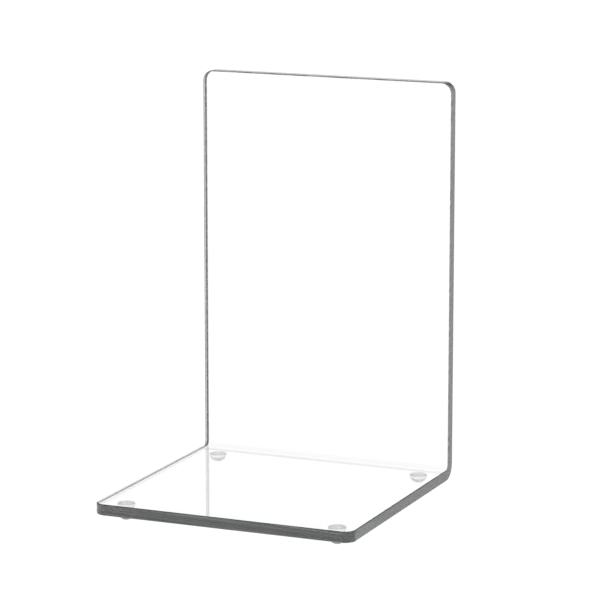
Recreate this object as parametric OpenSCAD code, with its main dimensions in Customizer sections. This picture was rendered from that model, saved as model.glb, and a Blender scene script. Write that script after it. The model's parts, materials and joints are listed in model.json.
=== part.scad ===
/* [Sheet] */
// Width across the stand
stand_w = 122; // [90:1:200]
// Depth from the front of the base to the back of the panel
stand_depth = 122; // [90:1:200]
// Height of the bent sheet, without its feet
sheet_h = 182; // [100:1:300]
// Thickness of the acrylic sheet
sheet_t = 5; // [3:0.5:8]

/* [Bend and corners] */
// Inside radius of the bend between the base and the panel
bend_inner_r = 2.2; // [1:0.1:5]
// Radius of the two top corners of the panel
panel_corner_r = 5; // [1:0.5:10]
// Radius of the two front corners of the base
base_corner_r = 5; // [1:0.5:10]

/* [Feet] */
// Diameter of a stick-on foot
foot_d = 8; // [6:0.5:12]
// Height of a foot below its adhesive
foot_h = 3.3; // [2.5:0.1:4.5]
// Height of the straight rim at the top of a foot
foot_rim_h = 0.6; // [0.2:0.1:1]
// Diameter of the flat that a foot stands on
foot_tip_d = 3; // [2:0.5:4]
// From a side edge of the base to the middle of a foot
foot_side_inset = 11; // [8:0.5:20]
// From the front edge of the base to the middle of a front foot
foot_front_inset = 11; // [8:0.5:20]
// From the back of the panel to the middle of a rear foot
foot_rear_inset = 14.5; // [14:0.5:25]

/* [Adhesive] */
// From the edge of a foot in to the edge of its adhesive disc
adhesive_margin = 0.2; // [0:0.1:0.5]
// Thickness of an adhesive disc
adhesive_t = 0.2; // [0.1:0.05:0.5]

/* [Hidden] */
$fn = 96;

// The origin is on the table, under the middle of the stand: +X to the right, +Y to the back
front_y = -stand_depth / 2;
back_y = stand_depth / 2;
right_x = stand_w / 2;
foot_x = right_x - foot_side_inset;
front_foot_y = front_y + foot_front_inset;
rear_foot_y = back_y - foot_rear_inset;
sheet_z = foot_h + adhesive_t;
top_z = sheet_z + sheet_h;
bend_outer_r = bend_inner_r + sheet_t;

// A foot's dome is part of a sphere that passes through the rim and the edge of the flat
foot_r = foot_d / 2;
tip_r = foot_tip_d / 2;
dome_h = foot_h - foot_rim_h;
dome_centre_z = (foot_r ^ 2 - tip_r ^ 2 + dome_h ^ 2) / (2 * dome_h);
dome_r = norm([tip_r, dome_centre_z]);

// How far a cutting shape runs past the sheet, so that no cut ends on a face
margin = 1;

acrylic_colour = [0.86, 0.93, 0.95, 0.4];
foot_colour = [0.8, 0.82, 0.84, 0.7];
adhesive_colour = [0.9, 0.88, 0.82, 0.6];

// The side outline of the sheet: the base, the bend and the panel in one thickness
module sheet_outline() {
  square([stand_depth - bend_outer_r, sheet_t]);
  translate([stand_depth - sheet_t, bend_outer_r])
    square([sheet_t, sheet_h - bend_outer_r]);
  translate([stand_depth - bend_outer_r, bend_outer_r])
    intersection() {
      difference() {
        circle(bend_outer_r);
        circle(bend_inner_r);
      }
      translate([0, -bend_outer_r]) square(bend_outer_r);
    }
}

// The waste outside a rounded corner that points along +X and +Y, with its centre at the origin
module corner_waste(r) {
  difference() {
    translate([0, 0, -margin]) cube([r + margin, r + margin, sheet_t + 2 * margin]);
    translate([0, 0, -2 * margin]) cylinder(r = r, h = sheet_t + 4 * margin);
  }
}

module bent_panel() {
  color(acrylic_colour)
    difference() {
      translate([-right_x, front_y, sheet_z])
        rotate([90, 0, 90]) linear_extrude(stand_w) sheet_outline();
      for (side = [0, 1]) mirror([side, 0, 0]) {
        translate([right_x - panel_corner_r, back_y, top_z - panel_corner_r])
          rotate([90, 0, 0]) corner_waste(panel_corner_r);
        translate([right_x - base_corner_r, front_y + base_corner_r, sheet_z])
          mirror([0, 1, 0]) corner_waste(base_corner_r);
      }
    }
}

// A clear domed bumper, standing on its flat
module foot(x, y) {
  color(foot_colour)
    translate([x, y, 0])
      rotate_extrude() {
        intersection() {
          translate([0, dome_centre_z]) circle(dome_r);
          square([foot_r, dome_h]);
        }
        translate([0, dome_h]) square([foot_r, foot_rim_h]);
      }
}

// The adhesive disc between a foot and the base
module adhesive(x, y) {
  color(adhesive_colour)
    translate([x, y, foot_h]) cylinder(r = foot_r - adhesive_margin, h = adhesive_t);
}

bent_panel();
foot(-foot_x, front_foot_y);  // front_left_foot
foot(foot_x, front_foot_y);  // front_right_foot
foot(-foot_x, rear_foot_y);  // rear_left_foot
foot(foot_x, rear_foot_y);  // rear_right_foot
adhesive(-foot_x, front_foot_y);  // front_left_adhesive
adhesive(foot_x, front_foot_y);  // front_right_adhesive
adhesive(-foot_x, rear_foot_y);  // rear_left_adhesive
adhesive(foot_x, rear_foot_y);  // rear_right_adhesive
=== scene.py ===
"""A clear acrylic photo album stand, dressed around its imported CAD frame."""

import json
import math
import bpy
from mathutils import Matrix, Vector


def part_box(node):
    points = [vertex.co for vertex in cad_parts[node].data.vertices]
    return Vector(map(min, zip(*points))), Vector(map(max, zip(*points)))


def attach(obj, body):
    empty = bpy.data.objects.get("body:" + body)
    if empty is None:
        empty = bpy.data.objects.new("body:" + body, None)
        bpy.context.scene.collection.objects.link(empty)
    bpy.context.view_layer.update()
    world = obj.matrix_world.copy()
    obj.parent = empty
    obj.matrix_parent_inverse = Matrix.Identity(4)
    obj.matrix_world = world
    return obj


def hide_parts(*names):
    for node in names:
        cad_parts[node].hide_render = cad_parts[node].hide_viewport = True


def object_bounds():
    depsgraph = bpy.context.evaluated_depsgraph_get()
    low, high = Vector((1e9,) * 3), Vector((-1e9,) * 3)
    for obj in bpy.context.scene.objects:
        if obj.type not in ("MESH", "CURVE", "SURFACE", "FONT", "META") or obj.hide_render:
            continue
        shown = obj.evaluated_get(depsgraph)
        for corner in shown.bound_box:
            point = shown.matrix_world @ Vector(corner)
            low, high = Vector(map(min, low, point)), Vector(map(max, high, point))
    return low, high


bl_info = {
    "name": "Album Stand",
    "version": (1, 0, 0),
    "blender": (4, 5, 0),
    "location": "3D View > Sidebar > Album Stand",
    "description": "Models the bent acrylic sheet, its clear feet and the studio around them",
    "category": "Object",
}

import bmesh
import bpy
from mathutils import Vector

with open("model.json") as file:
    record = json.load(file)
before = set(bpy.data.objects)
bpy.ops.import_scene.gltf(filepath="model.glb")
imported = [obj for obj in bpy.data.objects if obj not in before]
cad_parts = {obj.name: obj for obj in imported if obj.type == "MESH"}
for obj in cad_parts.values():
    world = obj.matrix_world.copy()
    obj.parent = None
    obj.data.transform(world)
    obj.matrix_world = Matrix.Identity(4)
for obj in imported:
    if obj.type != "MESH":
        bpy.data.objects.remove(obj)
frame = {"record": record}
CAD_BOX = [list(corner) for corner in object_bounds()]

MM = 0.001
BODY = "root"
SIDES = ("front_left", "front_right", "rear_left", "rear_right")
MOUNTS = {mount["name"]: mount for mount in frame["record"]["mounts"]}
SHEET_LOW, SHEET_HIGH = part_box("bent_panel")
BASE_TOP_Z = MOUNTS["base_shelf"]["pos_m"][2]
SHEET_T = BASE_TOP_Z - SHEET_LOW.z


class StandSizes(bpy.types.PropertyGroup):
    """Sizes of the details that the frame's boxes don't give."""

    bend_inner_r: bpy.props.FloatProperty(
        name="Bend radius",
        description="Inside radius of the bend between the base and the panel",
        default=2.2 * MM, min=1 * MM, max=5 * MM, unit="LENGTH", precision=4,
    )
    corner_r: bpy.props.FloatProperty(
        name="Corner radius",
        description="Radius of the panel's top corners and the base's front corners",
        default=5 * MM, min=1 * MM, max=10 * MM, unit="LENGTH", precision=4,
    )
    arris_w: bpy.props.FloatProperty(
        name="Arris",
        description="Radius of the rounding all round the sheet between its faces and its edge",
        default=0.5 * MM, min=0.05 * MM, max=1.2 * MM, unit="LENGTH", precision=5,
    )
    foot_tip_r: bpy.props.FloatProperty(
        name="Foot tip radius",
        description="Radius of the flat that a foot stands on",
        default=1.5 * MM, min=1 * MM, max=2 * MM, unit="LENGTH", precision=4,
    )
    foot_rim_h: bpy.props.FloatProperty(
        name="Foot rim",
        description="Height of the straight rim at the top of a foot",
        default=0.6 * MM, min=0.2 * MM, max=1 * MM, unit="LENGTH", precision=4,
    )
    contact_gap: bpy.props.FloatProperty(
        name="Contact gap",
        description="Air between two clear pieces that touch, so that their faces never coincide",
        default=0.01 * MM, min=0.002 * MM, max=0.05 * MM, unit="LENGTH", precision=5,
    )


class StandFinishes(bpy.types.PropertyGroup):
    """Colours of the clear materials, and the painted shade of the cut edges."""

    acrylic: bpy.props.FloatVectorProperty(
        name="Acrylic",
        description="Tint of the clear sheet",
        default=(0.995, 1.0, 0.998), min=0, max=1, size=3, subtype="COLOR",
    )
    # Painted shade: every cut edge is tinted between these two greys, darker and lighter along the
    # cutter's lines.
    edge_shade_dark: bpy.props.FloatVectorProperty(
        name="Edge, dark lines",
        description="Darker tint along the lines of the sheet's cut edges",
        default=(0.07, 0.073, 0.073), min=0, max=1, size=3, subtype="COLOR",
    )
    edge_shade_light: bpy.props.FloatVectorProperty(
        name="Edge, light lines",
        description="Lighter tint along the lines of the sheet's cut edges",
        default=(0.3, 0.31, 0.31), min=0, max=1, size=3, subtype="COLOR",
    )
    edge_clearness: bpy.props.FloatProperty(
        name="Edge clearness",
        description="How much of the light a cut edge lets through",
        default=0.45, min=0, max=1, subtype="FACTOR",
    )
    rubber: bpy.props.FloatVectorProperty(
        name="Feet",
        description="Tint of the clear rubber feet",
        default=(0.86, 0.87, 0.875), min=0, max=1, size=3, subtype="COLOR",
    )
    adhesive: bpy.props.FloatVectorProperty(
        name="Adhesive",
        description="Tint of the adhesive discs",
        default=(0.95, 0.945, 0.93), min=0, max=1, size=3, subtype="COLOR",
    )


class StandStudio(bpy.types.PropertyGroup):
    """The camera and the light round the stand."""

    azimuth: bpy.props.FloatProperty(
        name="Azimuth",
        description="How far the camera stands round to the right of the front",
        default=math.radians(23.12), subtype="ANGLE",
    )
    elevation: bpy.props.FloatProperty(
        name="Elevation",
        description="How far the camera looks down",
        default=math.radians(11.25), subtype="ANGLE",
    )
    distance: bpy.props.FloatProperty(
        name="Distance",
        description="From the camera to the point it looks at",
        default=1.363, min=0.3, max=5, unit="LENGTH",
    )
    aim_offset: bpy.props.FloatVectorProperty(
        name="Aim",
        description="From the middle of the stand to the point the camera looks at",
        default=(0.0114, 0, 0.0008), size=3, subtype="TRANSLATION",
    )
    lens: bpy.props.FloatProperty(
        name="Lens",
        description="Focal length of the camera's lens in millimetres",
        default=185.9, min=50, max=300,
    )
    white: bpy.props.FloatProperty(
        name="White level",
        description="Brightness of the floor and of the light low down all round",
        default=1.04, min=0.5, max=3,
    )
    ceiling: bpy.props.FloatProperty(
        name="Ceiling level",
        description="Brightness of the dimmer light high up all round",
        default=0.12, min=0, max=2,
    )


def sizes():
    return bpy.context.scene.stand_sizes


# Modelling helpers


def deselect_all():
    if bpy.context.object and bpy.context.object.mode != "OBJECT":
        bpy.ops.object.mode_set(mode="OBJECT")
    bpy.ops.object.select_all(action="DESELECT")


def name_active(name):
    piece = bpy.context.object
    piece.name = name
    piece.data.name = name
    return piece


def select_parts(kind, test):
    """Selects the faces or the edges that pass the test, in edit mode, and nothing else."""
    bpy.ops.mesh.select_mode(type="FACE" if kind == "faces" else "EDGE")
    bpy.ops.mesh.select_all(action="DESELECT")
    data = bpy.context.object.data
    mesh = bmesh.from_edit_mesh(data)
    for part in getattr(mesh, kind):
        if test(part):
            part.select_set(True)
    bmesh.update_edit_mesh(data)


def along(edge, axis):
    """True if the edge runs along the axis with that index."""
    way = (edge.verts[1].co - edge.verts[0].co).normalized()
    return abs(way[axis]) > 0.999


def middle(edge):
    return (edge.verts[0].co + edge.verts[1].co) / 2


def near(a, b):
    return abs(a - b) < 0.01 * MM


def round_edges(test, radius, segments):
    """Rounds the edges that pass the test to a true arc."""
    select_parts("edges", test)
    bpy.ops.mesh.bevel(
        offset_type="OFFSET", offset=radius, segments=segments, profile=0.5, affect="EDGES"
    )


def place_in_mesh(piece):
    """Puts the piece's place, turn and scale in its mesh."""
    deselect_all()
    piece.select_set(True)
    bpy.context.view_layer.objects.active = piece
    bpy.ops.object.transform_apply(location=True, rotation=True, scale=True)


def finish_normals(piece):
    """Keeps wide flat faces flat and shades the narrow ones between them smoothly."""
    deselect_all()
    piece.select_set(True)
    bpy.context.view_layer.objects.active = piece
    bpy.ops.object.shade_smooth()
    weighted = piece.modifiers.new("Flat faces", "WEIGHTED_NORMAL")
    weighted.mode = "FACE_AREA"
    weighted.weight = 50
    weighted.keep_sharp = False
    bpy.ops.object.modifier_apply(modifier=weighted.name)


# Shader helpers


class Value:
    """A number over a surface. Arithmetic on it adds the Math nodes that work it out."""

    def __init__(self, tree, socket):
        self.tree = tree
        self.socket = socket

    def math(self, operation, other, swap=False):
        node = self.tree.nodes.new("ShaderNodeMath")
        node.operation = operation
        terms = [self, other]
        if swap:
            terms.reverse()
        for socket, term in zip(node.inputs, terms):
            if isinstance(term, Value):
                self.tree.links.new(term.socket, socket)
            else:
                socket.default_value = term
        return Value(self.tree, node.outputs[0])

    def __add__(self, other):
        return self.math("ADD", other)

    def __sub__(self, other):
        return self.math("SUBTRACT", other)

    def __mul__(self, other):
        return self.math("MULTIPLY", other)

    def __rsub__(self, other):
        return self.math("SUBTRACT", other, swap=True)

    __radd__ = __add__
    __rmul__ = __mul__


class Nodes:
    """One material's or world's node tree, emptied, with one method that adds any node."""

    def __init__(self, owner):
        owner.use_nodes = True
        self.tree = owner.node_tree
        self.tree.nodes.clear()

    def add(self, kind, settings=None, **inputs):
        """Adds a node, gives it its settings, then its inputs. An input name has _ for a space."""
        node = self.tree.nodes.new(kind)
        for name, value in (settings or {}).items():
            setattr(node, name, value)
        for name, value in inputs.items():
            self.put(node.inputs[name.replace("_", " ")], value)
        return node

    def put(self, socket, value):
        if isinstance(value, Value):
            self.tree.links.new(value.socket, socket)
        elif isinstance(value, bpy.types.NodeSocket):
            self.tree.links.new(value, socket)
        else:
            socket.default_value = value

    def value(self, socket):
        return Value(self.tree, socket)

    def axes(self, vector):
        """The three parts of a vector as values."""
        parts = self.add("ShaderNodeSeparateXYZ", Vector=vector)
        return [self.value(parts.outputs[i]) for i in range(3)]

    def ramp(self, value, low, high, to_low=0.0, to_high=1.0):
        """A smooth step from to_low at low to to_high at high."""
        node = self.add(
            "ShaderNodeMapRange", {"interpolation_type": "SMOOTHSTEP"},
            Value=value, From_Min=low, From_Max=high, To_Min=to_low, To_Max=to_high,
        )
        return self.value(node.outputs["Result"])

    def noise(self, vector, scale, detail):
        node = self.add("ShaderNodeTexNoise", Vector=vector, Scale=scale, Detail=detail)
        return self.value(node.outputs["Fac"])

    def line_noise(self, run, scale, detail):
        """Noise that changes along one length only."""
        node = self.add(
            "ShaderNodeTexNoise", {"noise_dimensions": "1D"}, W=run * scale, Detail=detail
        )
        return self.value(node.outputs["Fac"])

    def stretched(self, vector, scale, rotation):
        """The vector scaled along each axis, for a pattern that is drawn out one way."""
        node = self.add("ShaderNodeMapping", Vector=vector, Scale=scale, Rotation=rotation)
        return node.outputs["Vector"]

    def mix(self, first, second, share):
        """A colour between two, by a share from 0 to 1."""
        node = self.add("ShaderNodeMix", {"data_type": "RGBA"})
        self.put(node.inputs[0], share)
        self.put(node.inputs[6], first)
        self.put(node.inputs[7], second)
        return node.outputs[2]

    def output(self, kind, shader):
        """Adds the material's or the world's output node."""
        self.add(kind, Surface=shader)


def clear_material(name, tint, ior, roughness, clearness=1.0, height=None, bump=0.0):
    """A clear plastic. Its tint is a colour, or like roughness and height a function of place."""
    material = bpy.data.materials.new(name)
    nodes = Nodes(material)
    place = nodes.add("ShaderNodeTexCoord").outputs["Object"]
    colour = tint(nodes, place) if callable(tint) else (*tint, 1)
    shader = nodes.add(
        "ShaderNodeBsdfPrincipled",
        Base_Color=colour, IOR=ior, Transmission_Weight=clearness,
        Roughness=roughness(nodes, place),
    )
    if height:
        relief = nodes.add(
            "ShaderNodeBump", Strength=1.0, Distance=bump, Height=height(nodes, place)
        )
        nodes.put(shader.inputs["Normal"], relief.outputs["Normal"])
    nodes.output("ShaderNodeOutputMaterial", shader.outputs["BSDF"])
    return material


# Materials

ACRYLIC_IOR = 1.49
RUBBER_IOR = 1.5
ADHESIVE_IOR = 1.47

# How rough the polished faces are where clean, and what smudges and wiping marks add
FACE_ROUGHNESS = 0.004
SMUDGE_ROUGHNESS = 0.02
WIPE_ROUGHNESS = 0.03

# Noise scales of the cutter's broad and fine lines, and how much of each shows
BROAD_LINES = 90
BROAD_SHARE = 0.7
FINE_LINES = 420
FINE_SHARE = 0.3
# How steeply the lines slant: along the base's edges, up the panel's, and across the end edges
BASE_SLANT = 7
PANEL_SLANT = 5
END_SLANT = 0.2
LINE_DEPTH = 0.01 * MM
# Height over which the lines turn from one slant to the other at the bend
TURN_H = 8 * MM


def hairlines(nodes, place):
    """Faint wiping marks on the polished faces, as a share from 0 to 1."""
    fine = nodes.noise(nodes.stretched(place, (900, 900, 60), (0.3, 0.2, 0.5)), 1.0, 3.0)
    return nodes.ramp(fine, 0.62, 0.75)


def face_roughness(nodes, place):
    smudge = nodes.ramp(nodes.noise(place, 35.0, 3.0), 0.55, 0.8)
    marks = SMUDGE_ROUGHNESS * smudge + WIPE_ROUGHNESS * hairlines(nodes, place)
    return FACE_ROUGHNESS + marks


def polished_acrylic():
    """The sheet's two wide faces, as they leave the mould."""
    tint = bpy.context.scene.stand_finishes.acrylic
    return clear_material("polished_acrylic", tint, ACRYLIC_IOR, face_roughness)


def cut_lines(nodes, place):
    """The cutter's long slanting lines: steep up the panel's edges, shallow along the base's."""
    x, y, z = nodes.axes(place)
    turn = nodes.ramp(z, BASE_TOP_Z, BASE_TOP_Z + TURN_H)
    base_run = y + z * BASE_SLANT
    panel_run = y * PANEL_SLANT - z
    run = x * END_SLANT + base_run * (1 - turn) + panel_run * turn
    broad = nodes.line_noise(run, BROAD_LINES, 2.0)
    fine = nodes.line_noise(run, FINE_LINES, 1.0)
    return broad * BROAD_SHARE + fine * FINE_SHARE


def edge_roughness(nodes, place):
    return nodes.ramp(cut_lines(nodes, place), 0.35, 0.7, 0.02, 0.14)


def painted_edge_shade(nodes, place):
    """Painted shade: the same dark grey on every cut edge, lighter and darker along the cutter's
    lines.
    """
    finishes = bpy.context.scene.stand_finishes
    streak = nodes.ramp(cut_lines(nodes, place), 0.38, 0.64)
    return nodes.mix((*finishes.edge_shade_dark, 1), (*finishes.edge_shade_light, 1), streak)


def cut_acrylic():
    """The sheet's edges: cut and lightly polished, so less clear than its faces, and tinted dark
    grey as painted shade.
    """
    clearness = bpy.context.scene.stand_finishes.edge_clearness
    return clear_material(
        "cut_acrylic", painted_edge_shade, ACRYLIC_IOR, edge_roughness,
        clearness=clearness, height=cut_lines, bump=LINE_DEPTH,
    )


def rubber_haze(nodes, place):
    return nodes.ramp(nodes.noise(place, 900.0, 3.0), 0.3, 0.7, 0.18, 0.3)


def clear_rubber():
    """The feet's soft clear polyurethane."""
    tint = bpy.context.scene.stand_finishes.rubber
    return clear_material("clear_rubber", tint, RUBBER_IOR, rubber_haze)


def adhesive_haze(nodes, place):
    return nodes.ramp(nodes.noise(place, 1500.0, 2.0), 0.4, 0.6, 0.25, 0.45)


def clear_adhesive():
    """The feet's adhesive, with its slightly uneven squeeze."""
    tint = bpy.context.scene.stand_finishes.adhesive
    return clear_material("clear_adhesive", tint, ADHESIVE_IOR, adhesive_haze)


# Pieces

ARRIS_SEGMENTS = 5
FOOT_LIP_R = 0.2 * MM


def declare(piece, node):
    """Hangs the piece on the body that it rides on and hides the frame's part that it stands for.
    """
    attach(piece, BODY)
    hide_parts(node)


def model_sheet():
    """The base and the panel in one thickness, with a square fold and square corners."""
    deselect_all()
    width = SHEET_HIGH.x - SHEET_LOW.x
    base_depth = SHEET_HIGH.y - SHEET_T - SHEET_LOW.y
    base_middle = (0, SHEET_LOW.y + base_depth / 2, SHEET_LOW.z + SHEET_T / 2)
    bpy.ops.mesh.primitive_cube_add(size=1, location=base_middle)
    bpy.context.object.scale = (width, base_depth, SHEET_T)
    sheet = name_active("acrylic_sheet")
    place_in_mesh(sheet)
    bpy.ops.object.mode_set(mode="EDIT")
    select_parts("faces", lambda face: face.normal.y > 0.9)
    bpy.ops.mesh.extrude_region_move(TRANSFORM_OT_translate={"value": (0, SHEET_T, 0)})
    strip_y = SHEET_HIGH.y - SHEET_T / 2
    select_parts("faces", lambda f: f.normal.z > 0.9 and near(f.calc_center_median().y, strip_y))
    rise = SHEET_HIGH.z - BASE_TOP_Z
    bpy.ops.mesh.extrude_region_move(TRANSFORM_OT_translate={"value": (0, 0, rise)})
    bpy.ops.mesh.select_all(action="SELECT")
    bpy.ops.mesh.dissolve_limited(angle_limit=math.radians(1))
    return sheet


def is_fold(edge, y, z):
    return along(edge, 0) and near(middle(edge).y, y) and near(middle(edge).z, z)


def is_side(edge):
    return near(abs(middle(edge).x), SHEET_HIGH.x)


def round_sheet():
    """Bends the fold and rounds the free corners, in edit mode."""
    inner_r = sizes().bend_inner_r
    corner_r = sizes().corner_r
    round_edges(lambda e: is_fold(e, SHEET_HIGH.y, SHEET_LOW.z), inner_r + SHEET_T, 40)
    round_edges(lambda e: is_fold(e, SHEET_HIGH.y - SHEET_T, BASE_TOP_Z), inner_r, 20)
    round_edges(
        lambda e: along(e, 1) and is_side(e) and near(middle(e).z, SHEET_HIGH.z), corner_r, 24
    )
    round_edges(
        lambda e: along(e, 2) and is_side(e) and near(middle(e).y, SHEET_LOW.y), corner_r, 24
    )


def soften_arrises(sheet):
    """Rounds the sheet's long edges a little, all the way round."""
    bpy.ops.object.mode_set(mode="OBJECT")
    arris = sheet.modifiers.new("Arris", "BEVEL")
    arris.width = sizes().arris_w
    arris.segments = ARRIS_SEGMENTS
    arris.limit_method = "ANGLE"
    arris.angle_limit = math.radians(40)
    arris.harden_normals = True
    bpy.ops.object.modifier_apply(modifier=arris.name)


def is_cut(polygon):
    """True for a face of the sheet's cut edge: a side, an end or a corner between them."""
    rim = sizes().arris_w
    at_top = polygon.center.z > SHEET_HIGH.z - rim
    at_front = polygon.center.y < SHEET_LOW.y + rim
    return abs(polygon.normal.x) > 0.02 or at_top or at_front


class STAND_OT_acrylic_sheet(bpy.types.Operator):
    """Models the bent acrylic sheet that is both the base and the panel"""

    bl_idname = "stand.acrylic_sheet"
    bl_label = "Acrylic Sheet"

    def execute(self, context):
        sheet = model_sheet()
        round_sheet()
        soften_arrises(sheet)
        finish_normals(sheet)
        sheet.data.materials.append(polished_acrylic())
        sheet.data.materials.append(cut_acrylic())
        for polygon in sheet.data.polygons:
            polygon.material_index = int(is_cut(polygon))
        declare(sheet, "bent_panel")
        return {"FINISHED"}


def arc(centre, radius, start, end, steps):
    """Points (r, z) along an arc of a profile, from the start angle to the end angle."""
    turns = [start + (end - start) * step / steps for step in range(steps + 1)]
    return [(centre[0] + radius * math.cos(a), centre[1] + radius * math.sin(a)) for a in turns]


def foot_profile(low, high):
    """Half of a foot's outline from its tip up to its rim, as points (r, z)."""
    foot_r = (high.x - low.x) / 2
    tip_r = sizes().foot_tip_r
    dome_h = high.z - low.z - sizes().foot_rim_h
    centre_z = (foot_r**2 - tip_r**2 + dome_h**2) / (2 * dome_h)
    dome_r = math.hypot(tip_r, centre_z)
    start = math.atan2(-centre_z, tip_r)
    end = math.atan2(dome_h - centre_z, foot_r)
    dome = arc((0, centre_z), dome_r, start, end, 20)
    top_z = high.z - low.z - sizes().contact_gap
    lip_centre = (foot_r - FOOT_LIP_R, top_z - FOOT_LIP_R)
    return dome + arc(lip_centre, FOOT_LIP_R, 0, math.pi / 2, 6)


def turn_profile(name, profile, centre, floor_z, sides=72):
    """Builds a round solid ring by ring from the lowest point of its profile to the highest."""
    deselect_all()
    radius, z = profile[0]
    bpy.ops.mesh.primitive_circle_add(
        vertices=sides, radius=radius, fill_type="NGON", location=(*centre, floor_z + z)
    )
    piece = name_active(name)
    place_in_mesh(piece)
    bpy.ops.object.mode_set(mode="EDIT")
    bpy.ops.mesh.select_all(action="SELECT")
    for next_radius, next_z in profile[1:]:
        bpy.ops.mesh.extrude_region_move(
            TRANSFORM_OT_translate={"value": (0, 0, next_z - z)}
        )
        share = next_radius / radius
        bpy.ops.transform.resize(
            value=(share, share, 1), center_override=(*centre, floor_z + next_z)
        )
        radius, z = next_radius, next_z
    bpy.ops.mesh.select_all(action="SELECT")
    bpy.ops.mesh.remove_doubles(threshold=0.001 * MM)
    bpy.ops.mesh.normals_make_consistent(inside=False)
    bpy.ops.object.mode_set(mode="OBJECT")
    finish_normals(piece)
    return piece


def copy_to(piece, name, move):
    """A copy of the piece with its own mesh, moved in its mesh."""
    deselect_all()
    piece.select_set(True)
    bpy.context.view_layer.objects.active = piece
    bpy.ops.object.duplicate(linked=False)
    copy = name_active(name)
    copy.location = move
    place_in_mesh(copy)
    return copy


def repeat_under_corners(piece, kind, material):
    """Puts a copy of the front left piece at each other corner and declares all four."""
    piece.data.materials.append(material)
    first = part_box(f"{SIDES[0]}_{kind}")[0]
    copies = [piece]
    for side in SIDES[1:]:
        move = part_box(f"{side}_{kind}")[0] - first
        copies.append(copy_to(piece, f"{side}_{piece.name.split('left_', 1)[1]}", move))
    for side, copy in zip(SIDES, copies):
        declare(copy, f"{side}_{kind}")


class STAND_OT_feet(bpy.types.Operator):
    """Models a clear domed foot and copies it under each corner of the base"""

    bl_idname = "stand.feet"
    bl_label = "Feet"

    def execute(self, context):
        low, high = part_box("front_left_foot")
        centre = ((low.x + high.x) / 2, (low.y + high.y) / 2)
        foot = turn_profile("front_left_bumper", foot_profile(low, high), centre, low.z)
        repeat_under_corners(foot, "foot", clear_rubber())
        return {"FINISHED"}


class STAND_OT_adhesive_discs(bpy.types.Operator):
    """Models the thin adhesive disc between a foot and the base, and copies it"""

    bl_idname = "stand.adhesive_discs"
    bl_label = "Adhesive Discs"

    def execute(self, context):
        low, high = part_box("front_left_adhesive")
        centre = ((low.x + high.x) / 2, (low.y + high.y) / 2)
        radius = (high.x - low.x) / 2
        thickness = high.z - low.z - sizes().contact_gap
        edge = thickness / 2
        profile = arc((radius - edge, edge), edge, -math.pi / 2, math.pi / 2, 8)
        disc = turn_profile("front_left_glue_disc", profile, centre, low.z)
        repeat_under_corners(disc, "adhesive", clear_adhesive())
        return {"FINISHED"}


# Studio

FLOOR_HALF = 4.0
LIGHT_BOUNCES = 64

# How far up the light starts to dim and where it is dimmest, as the height of a unit vector
DIM_FROM = 0.22
DIM_TO = 0.42


def make_world():
    """Soft light from all round: white low down and dimmer overhead, the same on every side."""
    studio = bpy.context.scene.stand_studio
    world = bpy.data.worlds.new("studio")
    bpy.context.scene.world = world
    nodes = Nodes(world)
    up = nodes.axes(nodes.add("ShaderNodeTexCoord").outputs["Generated"])[2]
    level = nodes.ramp(up, DIM_FROM, DIM_TO, studio.white, studio.ceiling)
    background = nodes.add("ShaderNodeBackground", Color=(1, 1, 1, 1), Strength=level)
    nodes.output("ShaderNodeOutputWorld", background.outputs["Background"])


def floor_material():
    """A plain white lit table."""
    material = bpy.data.materials.new("white_floor")
    nodes = Nodes(material)
    glow = nodes.add(
        "ShaderNodeEmission", Color=(1, 1, 1, 1),
        Strength=bpy.context.scene.stand_studio.white,
    )
    nodes.output("ShaderNodeOutputMaterial", glow.outputs["Emission"])
    return material


def make_floor():
    deselect_all()
    bpy.ops.mesh.primitive_plane_add(size=2 * FLOOR_HALF, location=(0, 0, 0))
    floor = name_active("floor")
    floor.data.materials.append(floor_material())


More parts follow.
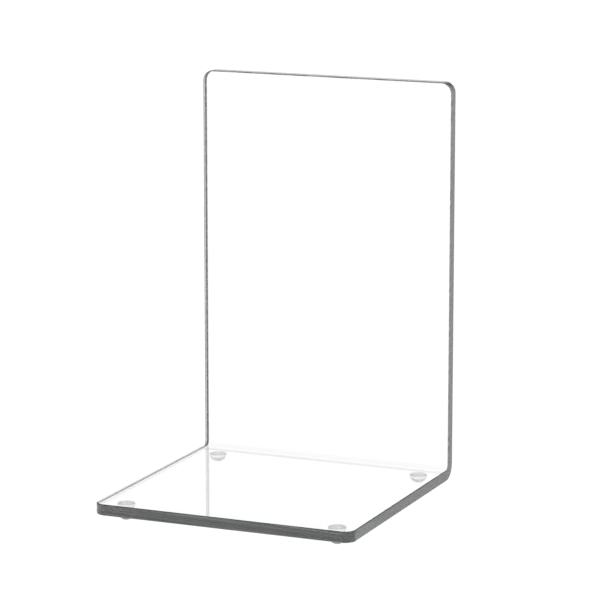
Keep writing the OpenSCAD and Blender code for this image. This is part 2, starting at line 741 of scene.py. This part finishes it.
def make_camera():
    studio = bpy.context.scene.stand_studio
    low, high = (Vector(corner) for corner in CAD_BOX)
    aim = (low + high) / 2 + Vector(studio.aim_offset)
    level = math.cos(studio.elevation)
    back = Vector((
        math.sin(studio.azimuth) * level,
        -math.cos(studio.azimuth) * level,
        math.sin(studio.elevation),
    ))
    bpy.ops.object.camera_add(location=aim + back * studio.distance)
    camera = bpy.context.object
    camera.name = "camera"
    camera.rotation_euler = (-back).to_track_quat("-Z", "Y").to_euler()
    camera.data.lens = studio.lens
    camera.data.clip_start = 0.01
    bpy.context.scene.camera = camera


class STAND_OT_studio(bpy.types.Operator):
    """Adds the floor, the light all round and the camera"""

    bl_idname = "stand.studio"
    bl_label = "Studio"

    def execute(self, context):
        make_floor()
        make_world()
        make_camera()
        scene = context.scene
        scene.view_settings.view_transform = "Standard"
        scene.cycles.max_bounces = LIGHT_BOUNCES
        scene.cycles.glossy_bounces = LIGHT_BOUNCES
        scene.cycles.transmission_bounces = LIGHT_BOUNCES
        return {"FINISHED"}


class STAND_PT_panel(bpy.types.Panel):
    """Lists the stand's pieces and settings"""

    bl_idname = "STAND_PT_panel"
    bl_label = "Album Stand"
    bl_space_type = "VIEW_3D"
    bl_region_type = "UI"
    bl_category = "Album Stand"

    def draw(self, context):
        column = self.layout.column(align=True)
        for operator in OPERATORS:
            column.operator(operator.bl_idname)
        for owner, kind in GROUPS.items():
            box = self.layout.box()
            for name in kind.__annotations__:
                box.prop(getattr(context.scene, owner), name)


OPERATORS = (STAND_OT_acrylic_sheet, STAND_OT_feet, STAND_OT_adhesive_discs, STAND_OT_studio)
GROUPS = {"stand_sizes": StandSizes, "stand_finishes": StandFinishes, "stand_studio": StandStudio}
CLASSES = (*GROUPS.values(), *OPERATORS, STAND_PT_panel)


def register():
    for cls in CLASSES:
        bpy.utils.register_class(cls)
    for name, group in GROUPS.items():
        setattr(bpy.types.Scene, name, bpy.props.PointerProperty(type=group))


def unregister():
    for name in GROUPS:
        delattr(bpy.types.Scene, name)
    for cls in reversed(CLASSES):
        bpy.utils.unregister_class(cls)


def main():
    register()
    bpy.ops.stand.acrylic_sheet()
    bpy.ops.stand.feet()
    bpy.ops.stand.adhesive_discs()
    bpy.ops.stand.studio()


if __name__ == "__main__":
    main()
